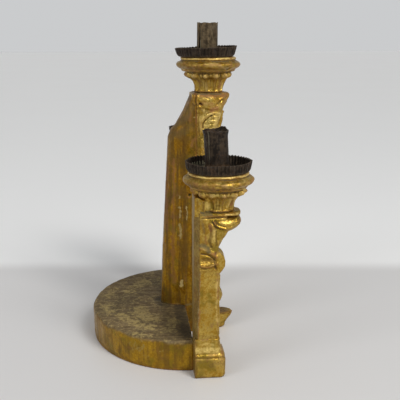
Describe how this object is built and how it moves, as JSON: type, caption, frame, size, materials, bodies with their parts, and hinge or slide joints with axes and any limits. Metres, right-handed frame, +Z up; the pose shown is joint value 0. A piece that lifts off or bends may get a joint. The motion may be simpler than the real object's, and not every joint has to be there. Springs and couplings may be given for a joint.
{
  "type": "altar candlestick",
  "caption": "Carved gilt-wood altar candlestick: a tall centre column between lower side pilasters on a half-round plinth, each with a turned cup, crimped iron drip pan and candle socket.",
  "frame": {"origin": "on the floor, under the centre of the whole object's bounding box", "axes": "+Z up, -Y to the front where the columns stand in line, +Y to the round back of the plinth, +X along the line of the three lights"},
  "size_m": [0.304, 0.165, 0.3468],
  "materials": {
    "gilded_wood": "water gilding over red-brown bole, burnished and rubbed",
    "worn_gilt_wood": "thin gilding and dark toning, much worn",
    "bare_wood": "bare turned softwood",
    "sheet_iron": "dark brown rusted sheet iron",
    "iron_nails": "dark hand-made nails"
  },
  "bodies": {
    "root": {"centre_candle_socket": "sheet_iron", "centre_cup": "gilded_wood", "centre_cup_dowel": "bare_wood", "centre_drip_pan": "sheet_iron", "centre_foot": "gilded_wood", "centre_pilaster": "gilded_wood", "centre_socket_nails": "iron_nails", "foot_dowels": "bare_wood", "front_dowels": "bare_wood", "left_candle_socket": "sheet_iron", "left_cup": "gilded_wood", "left_cup_dowel": "bare_wood", "left_drip_pan": "sheet_iron", "left_foot": "gilded_wood", "left_pilaster": "gilded_wood", "left_socket_nails": "iron_nails", "leg_dowels": "bare_wood", "plinth": "worn_gilt_wood", "post_dowels": "bare_wood", "rear_post": "worn_gilt_wood", "right_candle_socket": "sheet_iron", "right_cup": "gilded_wood", "right_cup_dowel": "bare_wood", "right_drip_pan": "sheet_iron", "right_foot": "gilded_wood", "right_pilaster": "gilded_wood", "right_socket_nails": "iron_nails"}
  },
  "joints": []
}
